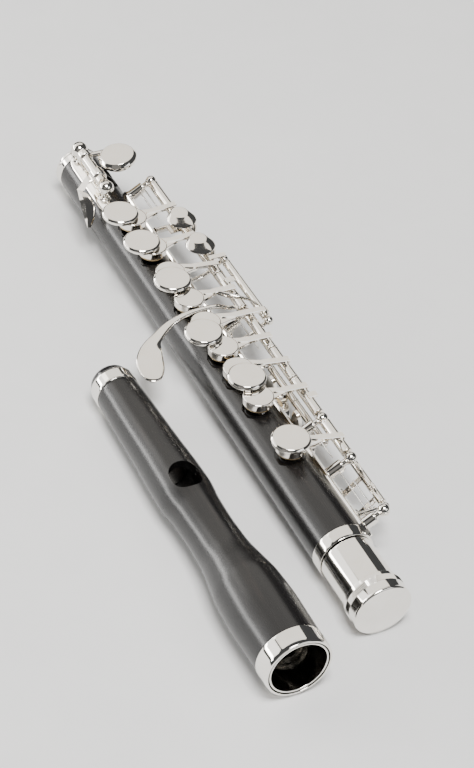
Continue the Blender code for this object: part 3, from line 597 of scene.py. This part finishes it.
def head_joint():
    start = CROWN_WOOD_X + 0.12
    end = RING_START - 0.12
    count = 80
    stations = [start + (end - start) * i / count for i in range(count + 1)]
    points = [(start, 5.5)] + [(x, head_radius(x)) for x in stations]
    points += [(end, 8.85), (0.0, 8.85), (0.0, 5.5)]
    radii = [0.2, 0.15] + [0] * (count - 1) + [0.15, 0, 0, 0.2]
    wood = lathe(filleted(points, radii, 3, closed=True), 128, closed=True)
    piece("head_wood", carve(wood, embouchure_cutter()), "head_joint", WOOD,
          ["head_tube"], HEAD, sharp=28)
    rim = head_radius(RING_START)
    band("socket_ring",
         [(RING_START, 8.9), (RING_START, rim + 0.12), (RING_START + 0.7, rim + 0.15),
          (MOUTH_X - 0.9, 9.75), (MOUTH_X, 9.5), (MOUTH_X, 8.9)],
         [0, 0.12, 0.2, 0.6, 0.25, 0.2], "head_joint", HEAD)
    band("socket_liner",
         [(0.3, 8.05), (0.3, 8.55), (MOUTH_X - 0.2, 8.55), (MOUTH_X - 0.2, 8.05)],
         [0.1, 0, 0.1, 0.15], "head_joint", HEAD)
    x = CROWN_WOOD_X
    band("crown_ring",
         [(x - 4.9, 5.0), (x - 4.9, 6.6), (x - 4.2, 6.85), (x - 0.6, 6.88), (x, 6.72), (x, 5.0)],
         [0, 0.25, 0.3, 0.3, 0.15, 0], "head_joint", HEAD)
    cap = [(-104.4, 0), (-104.4, 3.0), (-104.0, 4.7), (-102.9, 5.9), (x - 5.1, 6.3), (x - 5.1, 4.6),
           (x + 3.0, 4.6), (x + 3.0, 0)]
    plug = lathe(filleted(cap, [0, 0.5, 0.8, 0.8, 0.15, 0, 0.2, 0], 5), 96)
    piece("crown_cap_fine", plug, "crown_cap", RESIN, ["crown_cap"], HEAD)


# ------------------------------------------------------------------ ribs, posts, rods and springs

def post(x, foot, head, ball_r=1.8, barrel=1.8, screw=0):
    """A turned post: a stout barrel, a beaded neck, and a ball that holds the hinge."""
    foot, head = Vector(foot) + Vector((x, 0, 0)), Vector(head) + Vector((x, 0, 0))
    length = (head - foot).length
    neck = 0.55 * barrel
    near = length - math.sqrt(ball_r ** 2 - neck ** 2)
    shoulder = min(length - 2.9, near - 0.55)
    points = [(0, 0), (0, barrel + 0.3), (0.35, barrel + 0.3), (0.6, barrel), (shoulder, barrel),
              (shoulder, neck), (near - 0.3, neck), (near - 0.25, neck + 0.18),
              (near, neck + 0.18), (length, neck * 0.8), (length, 0)]
    radii = [0, 0, 0.15, 0.15, 0.5 * barrel, 0.1, 0.05, 0.08, 0.08, 0, 0]
    stem = moved(lathe(filleted(points, radii, 5), 32), aim(foot, head - foot))
    parts = [stem, orb(head, ball_r)]
    if screw:
        side = Vector((screw, 0, 0))
        end = head + side * (ball_r - 0.32)
        head_profile = filleted([(0, 0), (0, 0.62), (0.42, 0.62), (0.42, 0)], [0, 0, 0.1, 0], 3)
        parts.append(moved(lathe(head_profile, 24), aim(end, side)))
    return merged(*parts)


# Each post: x and the side its pivot screw faces, 0 for none; the E flat posts also give a ball.
MAIN_POSTS = ((-163.0, -1), (-93.0, 0), (-43.6, 0), (-26.3, 1))
OUTER_POSTS = ((-118.6, -1), (-87.6, 1))
TRILL_POSTS = ((-145.2, -1), (-10.0, 1))
THUMB_POSTS = ((-75.2, -1), (-39.5, 1))
E_FLAT_POSTS = ((-182.4, -1, 2.7), (-160.7, 1, 2.5))


def lower_face(x):
    return body_radius(x) + 0.02


def upper_face(x):
    return body_radius(x) + 1.2


def main_rib():
    """The long rib with the posts of the main, outer, trill and thumb lines."""
    parts = [shell(-165.6, -0.6, (math.radians(40), math.radians(71)), lower_face, upper_face,
                   90, 10, 0.035)]
    root = polar(8.3, POST_ANGLE)
    side_root = Vector((0, 8.0, 3.35))
    for x, screw in MAIN_POSTS:
        parts.append(post(x, root, on_line(MAIN), screw=screw))
    parts.append(post(-5.3, root, polar(15.7, POST_ANGLE), screw=1))
    for x, screw in OUTER_POSTS:
        path = [side_root, Vector((0, 12.0, 4.2)), Vector((0, 15.6, 6.3)), on_line(OUTER)]
        stations = [(point + Vector((x, 0, 0)), (0.85, 0, 0), (0, -0.32, 0.5)) for point in path]
        parts += [blade(stations, 6, 2.6, 16), orb(on_line(OUTER, x), 1.4)]
    for x, screw in TRILL_POSTS:
        parts.append(post(x, side_root, on_line(TRILL), 1.25, 0.95, screw))
    for x, screw in THUMB_POSTS:
        parts.append(post(x, side_root, on_line(THUMB), 1.4, 1.0, screw))
    piece("rib_and_posts", merged(*parts), "body_joint", SILVER, ["main_rib"])


def e_flat_rib():
    """The saddle with the two posts of the E flat key."""
    angles = (math.radians(-40), math.radians(-13))
    parts = [shell(-184.6, -155.0, angles, lower_face, upper_face, 40, 10, 0.16)]
    root = polar(8.5, math.radians(-20))
    for x, screw, ball_r in E_FLAT_POSTS:
        parts.append(post(x, root, on_line(E_FLAT), ball_r, 1.8, screw))
    piece("e_flat_saddle", merged(*parts), "body_joint", SILVER, ["e_flat_rib"])


def rods_and_springs():
    spans = (("main_rod", MAIN, -163.0, -26.3), ("outer_rod", OUTER, -118.6, -87.6),
             ("thumb_rod", THUMB, -75.2, -39.5), ("e_flat_rod", E_FLAT, -182.4, -160.7))
    for name, line, start, end in spans:
        rod = spindle(on_line(line, start - 1.2), on_line(line, end + 1.2), 0.5, 20)
        piece(name + "_fine", rod, "body_joint", STEEL, [name])
    wires = ((-160.9, -150.0, 13.6), (-160.9, -146.5, 11.9), (-90.9, -79.0, 13.6),
             (-41.5, -30.0, 12.6), (-24.2, -9.0, 11.9), (-19.5, -7.4, 13.6))
    for index, (start, end, reach) in enumerate(wires, 1):
        a, b = polar(reach, POST_ANGLE, start), polar(reach, POST_ANGLE, end)
        length = (b - a).length
        points = [(0, 0), (0, 0.24), (0.5, 0.26), (length - 0.4, 0.2), (length, 0.08), (length, 0)]
        piece(f"needle_spring_{index}_fine", moved(lathe(points, 16), aim(a, b - a)),
              "body_joint", STEEL, [f"needle_spring_{index}"])


# ------------------------------------------------------------------ keys

def cup(x, offset, angle, turn, r):
    """A pad cup: a rim that hugs the pad, a straight wall and a flat polished top."""
    base = seat_height(x) + pad_lift(turn) + PAD_THICKNESS
    points = [(0.75, 0), (0.75, r - 0.36), (-0.35, r - 0.3), (-0.35, r - 0.02), (2.0, r),
              (2.03, r * 0.5), (2.05, 0)]
    profile = filleted(points, [0, 0.1, 0.08, 0.14, 0.42, 1.0, 0], 6)
    shape = moved(lathe(profile, 72), aim((x, offset, base), (0, 0, 1)))
    return moved(shape, Matrix.Rotation(-angle, 4, 'X'))


def pad(name, x, offset, angle, turn, r):
    base = seat_height(x) + pad_lift(turn)
    points = [(0.12, 0), (0.12, r * 0.62), (0.0, r * 0.72), (0.0, r - 0.25), (0.5, r),
              (1.05, r - 0.02), (1.9, r - 0.1), (1.9, 0)]
    profile = filleted(points, [0, 0.2, 0.2, 0.3, 0.3, 0.1, 0, 0], 4)
    shape = moved(lathe(profile, 64), aim((x, offset, base), (0, 0, 1)))
    shape.transform(Matrix.Rotation(-angle, 4, 'X'))
    piece(name + "_pad_fine", shape, name + "_key", SKIN, [name + "_pad"])


TUBE_R = {MAIN: 1.6, OUTER: 1.3, TRILL: 1.15, THUMB: 1.15, E_FLAT: 1.8}


def hinge_tube(line, start, end):
    """A hinge tube with a fine turned collar at each end."""
    n, r = end - start, TUBE_R[line]
    collar = r + 0.05
    points = [(0, 0), (0, collar), (0.6, collar), (0.7, r), (n - 0.7, r), (n - 0.6, collar),
              (n, collar), (n, 0)]
    profile = filleted(points, [0, 0.14, 0.04, 0.04, 0.04, 0.04, 0.14, 0], 3)
    return moved(lathe(profile, 40), aim(on_line(line, start), (1, 0, 0)))


def button(cup_x, cup_y, x, y, top):
    """A round finger touch carried on a short pedestal above its cup."""
    r, thick = 2.7, 0.6
    middle = (0.5 * (x + cup_x), 0.5 * (y + cup_y), top - 0.1)
    disc = [(0, 0), (0, r), (thick, r), (thick, r * 0.45), (thick, 0)]
    disc = filleted(disc, [0, 0.05, 0.05, r * 0.3, 0], 6)
    pedestal = moved(lathe(disc, 40), aim(middle, (0, 0, 1)))
    points = [(0, 0), (0, 5.3), (0.25, 5.67), (1.1, 5.7), (1.6, 5.15), (1.61, 2.2), (1.62, 0)]
    profile = filleted(points, [0, 0.12, 0.16, 0.22, 0.14, 0, 0], 5)
    plate = moved(lathe(profile, 96), aim((x, y, top + 0.35), (0, 0, 1)))
    return [pedestal, plate]


ARM_TOP_Z = 11.05                # the centre of a finger key's arm where it meets its tube
ARM_HALF_WIDTH = 1.1


def key_arm(cup_x, top, end, flat_to=None):
    """A pointed gusset under a straight bar that runs from a point on the cup to its tube."""
    start = Vector((cup_x, CUP_Y + CUP_R - 1.0, top - 0.75))
    finish = Vector(end)
    gusset = plank([(start, (2.5, 0, 0), (0, 0, 0.45)),
                    (start.lerp(finish, 0.22), (1.75, 0, 0), (0, 0, 0.45)),
                    (start.lerp(finish, 0.62), (0.4, 0, 0), (0, 0, 0.4))], 0.1)
    lift = Vector((0, 0, 0.3))
    rows = [(start.lerp(finish, 0.1) + lift, 0.2),
            (start.lerp(finish, 0.36) + lift, ARM_HALF_WIDTH)]
    if flat_to:
        rows.append((Vector((finish.x, flat_to, rows[-1][0].z)), ARM_HALF_WIDTH))
    rows.append((finish, ARM_HALF_WIDTH))
    return [gusset, plank([(point, (half, 0, 0), (0, 0, 0.5)) for point, half in rows], 0.12)]


def key_tab(x, y_end, z, half=1.0):
    """A short flat tab on the main line that reaches towards its neighbour."""
    y, axis_z = MAIN
    root = plank([((x, y, axis_z), (half, 0, 0), (0, 0.7, 0)),
                  ((x, y, z), (half, 0, 0), (0, 0.7, 0))])
    plate = plank([((x, y - 0.7, z), (half, 0, 0), (0, 0, 0.35)),
                   ((x, y_end, z), (half, 0, 0), (0, 0, 0.35))])
    return [root, plate]


def top_key(name, cup_x, line, tube, arm_end, touch=None, extras=(), flat_to=None):
    """A finger key: pad cup, two-layered arm, hinge tube and, on most, a raised round touch."""
    top = seat_height(cup_x) + pad_lift(OPEN) + PAD_THICKNESS + 2.0
    arm_x, arm_y = arm_end
    parts = [cup(cup_x, CUP_Y, 0.0, OPEN, CUP_R)]
    parts += key_arm(cup_x, top, (arm_x, arm_y, ARM_TOP_Z), flat_to)
    parts.append(plank([((arm_x, line[0], ARM_TOP_Z), (0.9, 0, 0), (0, 0.8, 0)),
                        ((arm_x, line[0], line[1]), (0.95, 0, 0), (0, 0.9, 0))]))
    parts.append(hinge_tube(line, *tube))
    parts += extras
    if touch:
        parts += button(cup_x, CUP_Y, touch[0], touch[1], top)
    piece(name + "_fine", merged(*parts), name, SILVER, [name])


def finger_keys():
    e_plate = plank([((-137.5, 14.2, 9.2), (2.1, 0, 0), (0, 0, 0.25)),
                     ((-137.5, 8.75, 9.2), (2.05, 0, 0), (0, 0, 0.25))], 0.08)
    f_tab = key_tab(-118.4, 19.2, 10.9)
    f_sharp_tab = key_tab(-107.0, 16.7, 10.7, 1.1)
    b_flat_tab = key_tab(-52.2, 16.7, 10.3, 1.1)
    top_key("d_key", -144.5, MAIN, (-161.0, -140.2), (-146.6, 15.2), (-145.8, -4.05))
    top_key("e_key", -129.2, MAIN, (-139.9, -124.2), (-130.9, 14.6), (-130.3, -3.65), [e_plate])
    top_key("f_key", -116.0, MAIN, (-123.9, -112.2), (-115.2, 15.2), (-110.4, -2.4), f_tab)
    top_key("f_sharp_key", -102.4, MAIN, (-111.9, -101.0), (-103.1, 15.0), None, f_sharp_tab)
    top_key("g_lower_key", -90.7, OUTER, (-91.9, -89.2), (-90.3, 19.2), flat_to=16.6)
    top_key("g_key", -78.8, MAIN, (-91.1, -75.2), (-79.2, 15.4), (-84.9, -4.0))
    top_key("a_key", -68.6, MAIN, (-74.9, -61.2), (-67.6, 15.4), (-62.8, -0.7))
    top_key("b_flat_key", -55.5, MAIN, (-60.9, -45.6), (-55.6, 15.2), None, b_flat_tab)
    top_key("c_key", -34.8, MAIN, (-41.6, -28.3), (-33.1, 15.2), (-34.8, -0.7))


def side_arm(x, line, turn, width, elbow=None):
    """An arm from a hinge line down to a cup at the back of the body."""
    reach = seat_height(x) + pad_lift(turn) + PAD_THICKNESS + 1.55
    points = [on_line(line, x), polar(reach, SIDE, x), polar(reach - 0.1, SIDE * 1.12, x)]
    if elbow:
        points.insert(1, Vector((x, *elbow)))
    thick = polar(0.45, math.radians(95))
    return blade([(point, (width, 0, 0), thick) for point in points], 5, 5.0, 16)


def g_sharp_key():
    """The little-finger lever: a blade over the body to a teardrop touch, its cup at the back."""
    path = [(-96.9, 13.6, 8.4, 0.8), (-96.8, 10.6, 9.0, 0.8), (-96.6, 8.0, 10.4, 0.8),
            (-96.5, 5.4, 11.4, 0.8), (-96.4, 1.5, 11.7, 0.8), (-96.3, -3.0, 11.5, 0.9),
            (-95.9, -7.0, 10.8, 1.05), (-95.0, -11.0, 9.6, 1.4), (-93.0, -15.0, 8.1, 1.9)]
    rows = [((x, y, z), (w, 0.28 * w if y < -5 else 0, 0), (0, 0.08, 0.48)) for x, y, z, w in path]
    rows += [((-90.6, -17.6, 7.15), (2.05, 2.2, 0), (0, 0.05, 0.5)),
             ((-87.5, -19.5, 6.5), (2.35, 3.1, 0), (0, 0, 0.55)),
             ((-84.2, -20.9, 6.15), (2.1, 3.55, 0), (0, 0, 0.58)),
             ((-81.2, -21.8, 5.95), (1.5, 3.1, 0), (0, 0, 0.55)),
             ((-79.0, -22.35, 5.85), (0.85, 2.05, 0), (0, 0, 0.45)),
             ((-78.1, -22.6, 5.8), (0.3, 0.8, 0), (0, 0, 0.3))]
    parts = [hinge_tube(MAIN, -100.7, -94.9), blade(rows, 7, 3.2, 24),
             cup(-97.0, 0.0, SIDE, 0.0, CUP_R), side_arm(-97.0, MAIN, 0.0, 1.1, (13.1, 2.6))]
    piece("g_sharp_key_fine", merged(*parts), "g_sharp_key", SILVER, ["g_sharp_key"])


def trill_touch(x):
    """A curled arm from the trill line up to a round touch."""
    y, z = TRILL
    path = [(y, z), (y + 1.1, z + 3.2), (y + 0.5, z + 6.6), (y - 1.2, z + 7.85), (y - 4.0, z + 8.0)]
    arm = blade([((x, py, pz), (1.25, 0, 0), (0, 0.42, 0.28)) for py, pz in path], 6, 4.0, 16)
    return [arm, offset_touch(x, 13.5, 11.3)]


def offset_touch(x, y, z):
    """A round touch whose flat top is set to one side, so that its far side slopes to the rim."""
    outline = [(0.0, 0.0, 4.25), (0.0, 0.14, 4.45), (0.0, 0.45, 4.58), (0.0, 0.6, 4.5),
               (-0.35, 0.82, 4.2), (-0.9, 1.1, 3.75), (-1.5, 1.42, 3.2), (-1.9, 1.65, 2.8),
               (-2.0, 1.74, 2.62), (-2.05, 1.76, 2.45)]
    turns = [2 * math.pi * i / 72 for i in range(72)]
    return skin([[(x + shift + r * math.cos(a), y + r * math.sin(a), z + height) for a in turns]
                 for shift, height, r in outline])


def spring_catch(x):
    """A small tongue on the trill line that a spring can bear on."""
    y, z = TRILL
    return plank([((x, y, z), (1.1, 0, 0), (0, 0.5, 0)),
                  ((x, y - 0.9, z + 2.9), (1.1, 0, 0), (0, 0.35, 0))], 0.1)


def trill_cup(x):
    return [cup(x, 0.0, SIDE, 0.0, TRILL_CUP_R), side_arm(x, TRILL, 0.0, 1.0)]


def trill_keys():
    """The D key turns on its own rod, which runs through the tube of the D sharp key."""
    parts = [spindle(on_line(TRILL, -144.4), on_line(TRILL, -9.6), 0.5, 20),
             hinge_tube(TRILL, -143.2, -131.0), hinge_tube(TRILL, -18.0, -11.6),
             *trill_touch(-138.2), *trill_cup(-14.2), spring_catch(-16.4)]
    piece("trill_d_key_fine", merged(*parts), "trill_d_key", SILVER, ["trill_d_key"])
    parts = [hinge_tube(TRILL, -130.7, -18.3), *trill_touch(-124.4), *trill_cup(-23.0),
             spring_catch(-24.5)]
    piece("trill_d_sharp_key_fine", merged(*parts), "trill_d_sharp_key", SILVER,
          ["trill_d_sharp_key"])


def thumb_keys():
    spans = (("thumb_b_flat_key", -62.0, (-73.3, -57.3), (-72.6, -67.4)),
             ("thumb_b_key", -46.0, (-57.0, -41.4), (-56.2, -51.4)))
    for name, x, tube, touch in spans:
        plate = shell(*touch, (math.radians(74), math.radians(131)),
                      lambda _: 11.65, lambda _: 12.7, 16, 24, 0.3)
        parts = [hinge_tube(THUMB, *tube), cup(x, 0.0, SIDE, THUMB_OPEN, CUP_R),
                 side_arm(x, THUMB, THUMB_OPEN, 1.2), plate]
        piece(name + "_fine", merged(*parts), name, SILVER, [name])


def b_flat_lever():
    """The side lever: a narrow stem up from the outer line to a bean-shaped touch."""
    path = [(-93.9, 18.9, 9.3, 0.9, 0.4), (-94.0, 17.7, 10.8, 1.0, 0.42),
            (-94.9, 15.8, 12.2, 1.25, 0.45), (-96.6, 13.0, 12.85, 1.85, 0.6),
            (-97.9, 10.9, 13.0, 2.45, 0.8), (-99.0, 9.1, 13.0, 2.15, 0.75),
            (-99.7, 8.0, 12.9, 1.0, 0.45)]
    rows = [((px, y, z), (0.8 * w, 0.55 * w, 0), (0, 0, thick)) for px, y, z, w, thick in path]
    lever = merged(hinge_tube(OUTER, -116.8, -92.2), blade(rows, 8, 2.6, 24))
    piece("b_flat_lever_fine", lever, "b_flat_lever", SILVER, ["b_flat_lever"])


def e_flat_key():
    """The E flat key stands open: a large cup on a short arm, two collars and a spoon touch."""
    line, x = E_FLAT, E_FLAT_X
    base = seat_height(x) + PAD_THICKNESS
    turn = Matrix.Rotation(-E_FLAT_ANGLE, 4, 'X')
    raised = about(line, E_FLAT_RAISE)
    points = [(0.6, 0), (0.6, 5.6), (-0.3, 5.7), (-0.3, 6.1), (0.8, 6.2), (1.85, 5.25),
              (1.9, 2.2), (1.92, 0)]
    bowl = lathe(filleted(points, [0, 0.1, 0.08, 0.15, 0.3, 0.12, 1.0, 0], 6), 96)
    bowl.transform(raised @ turn @ aim((x, 0, base), (0, 0, 1)))
    hub = on_line(line, x - 6.2)
    tip = turn @ Vector((x, 0, base + 1.3)) + Vector((-3.0, 0, 0))
    arm = blade([(hub, (1.2, 0, 0), (0, 0.3, 0.6)),
                 (hub.lerp(tip, 0.35), (1.0, 0, 0), (0, 0.35, 0.65)),
                 (tip, (1.5, 0, 0), (0, 0.25, 0.5))], 6, 2.6, 20)
    arm.transform(raised)
    collars = []
    for start, end in ((-179.2, -176.6), (-169.2, -165.7)):
        n = end - start
        outline = [(0, 0), (0, 2.1), (0.35, 2.48), (n - 0.35, 2.48), (n, 2.1), (n, 0)]
        profile = filleted(outline, [0, 0.1, 0.15, 0.15, 0.1, 0], 3)
        collars.append(moved(lathe(profile, 40), aim(on_line(line, start), (1, 0, 0))))
    lever = plank([((-167.4, -2.4, 12.2), (1.5, 0, 0), (0, 0.2, 0.65)),
                   ((-167.5, -6.0, 11.15), (1.4, 0, 0), (0, 0.3, 0.55)),
                   ((-166.2, -8.8, 8.7), (1.15, 0.35, 0), (0, 0.45, 0.35))])
    edges = [((-167.2, -9.2, 8.3), (-165.2, -8.3, 9.1)),
             ((-165.8, -9.5, 7.7), (-163.1, -7.6, 9.1)),
             ((-163.9, -9.8, 6.9), (-161.0, -7.25, 8.6)),
             ((-162.0, -10.15, 6.2), (-159.2, -7.1, 8.15)),
             ((-160.2, -10.4, 5.5), (-157.6, -7.25, 7.5)),
             ((-158.4, -10.6, 4.85), (-156.3, -7.9, 6.6)),
             ((-156.8, -10.8, 4.25), (-155.1, -8.8, 5.5)),
             ((-155.3, -10.95, 3.65), (-154.1, -9.8, 4.5)),
             ((-154.2, -11.0, 3.25), (-153.6, -10.6, 3.6))]
    parts = [hinge_tube(line, -179.5, -163.4), bowl, arm, lever, creased_touch(edges)] + collars
    piece("e_flat_key_fine", merged(*parts), "e_flat_key", SILVER, ["e_flat_key"],
          sharp=24)
    felt = [(0.1, 0), (0.1, 3.1), (0.0, 3.5), (0.0, 5.0), (0.45, 5.35), (1.3, 5.4), (1.8, 5.3),
            (1.8, 0)]
    felt = lathe(filleted(felt, [0, 0.2, 0.2, 0.3, 0.3, 0.1, 0, 0], 4), 72)
    felt.transform(raised @ turn @ aim((x, 0, base - PAD_THICKNESS), (0, 0, 1)))
    piece("e_flat_pad_fine", felt, "e_flat_key", SKIN, ["e_flat_pad"])


def creased_touch(edges):
    """The little-finger touch: a thin spoon with a ridge along it, given by its two edges."""
    rings = []
    for left, right in edges:
        left, right = Vector(left), Vector(right)
        centre = 0.5 * (left + right)
        out = Vector((0, centre.y, centre.z)).normalized()
        ridge = left.lerp(right, 0.42) + 0.26 * (right - left).length ** 0.5 * out + 0.2 * out
        rim = left.lerp(right, 0.9) + 0.02 * out
        rings.append([left - 0.2 * out, left + 0.2 * out, ridge, rim,
                      right + 0.25 * out, right - 0.25 * out, centre - 0.3 * out])
    return skin(rings)


def pads():
    for name, x, offset, angle, line, turn, hole in CUPS:
        r = TRILL_PAD_R if name.startswith("trill") else PAD_R
        pad(name, x, offset, angle, turn, r)


# ------------------------------------------------------------------ stage

def area_light(name, direction, distance, size, power, colour):
    """A rectangular panel in a direction from the middle of the scene, facing it."""
    data = bpy.data.lights.new(name, 'AREA')
    data.shape = 'RECTANGLE'
    data.size, data.size_y = size
    data.energy = power
    data.color = colour
    item = bpy.data.objects.new(name, data)
    bpy.context.scene.collection.objects.link(item)
    item.location = Vector((0, 0, 0.005)) + Vector(direction).normalized() * distance
    item.rotation_euler = (-Vector(direction)).to_track_quat('-Z', 'Y').to_euler()


def stage():
    """A plain pale floor, a dim room and soft panels."""
    shape = bmesh.new()
    bmesh.ops.create_grid(shape, x_segments=8, y_segments=8, size=3.0)
    mesh = bpy.data.meshes.new("floor")
    shape.to_mesh(mesh)
    shape.free()
    mesh.materials.append(FLOOR)
    floor = bpy.data.objects.new("floor", mesh)
    bpy.context.scene.collection.objects.link(floor)
    world = bpy.data.worlds.new("studio")
    bpy.context.scene.world = world
    world.use_nodes = True
    background = world.node_tree.nodes["Background"]
    background.inputs["Color"].default_value = (0.93, 0.96, 1.0, 1.0)
    background.inputs["Strength"].default_value = 0.07
    area_light("wide_softbox", (-0.65, 0.04, 0.76), 0.95, (1.36, 0.64), 4.1, (1.0, 0.965, 0.90))
    area_light("side_softbox", (-0.65, -0.63, 0.42), 1.0, (0.9, 0.56), 3.4, (1.0, 0.985, 0.96))
    area_light("low_strip", (-0.65, -0.72, 0.2), 1.02, (1.1, 0.14), 7.0, (1.0, 0.99, 0.97))
    area_light("top_panel", (0.35, -0.1, 1.0), 1.3, (0.5, 0.5), 26.0, (1.0, 0.99, 0.98))
    area_light("fill_panel", (0.9, 0.5, 0.7), 1.2, (0.7, 0.4), 2.0, (0.96, 0.98, 1.0))
    area_light("front_panel", (0.55, -0.55, 0.6), 1.1, (0.9, 0.7), 0.35, (1.0, 0.97, 0.93))


def camera():
    data = bpy.data.cameras.new("view")
    data.lens = 102.31
    data.sensor_width = 36.0
    data.clip_start = 0.01
    item = bpy.data.objects.new("view", data)
    bpy.context.scene.collection.objects.link(item)
    right = Vector((0.43329, 0.89822, 0.07392))
    down = Vector((0.62409, -0.23986, -0.74363))
    forward = Vector((-0.65021, 0.36834, -0.66449))
    place = Vector((342.36, -233.24, 425.66))
    turn = Matrix((right, -down, -forward)).transposed().to_4x4()
    item.matrix_world = Matrix.Translation((place + SHIFT) * 0.001) @ turn
    bpy.context.scene.camera = item


def unseen_nodes():
    """The stopper inside the head keeps its CAD shape, with its own materials."""
    for name, material in (("head_cork", CORK), ("cork_plate", BRIGHT)):
        for place in frame["nodes"][name].material_slots:
            place.material = material


body_wood()
body_rings()
tenon_cap()
head_joint()
main_rib()
e_flat_rib()
rods_and_springs()
finger_keys()
g_sharp_key()
trill_keys()
thumb_keys()
b_flat_lever()
e_flat_key()
pads()
unseen_nodes()
stage()
camera()
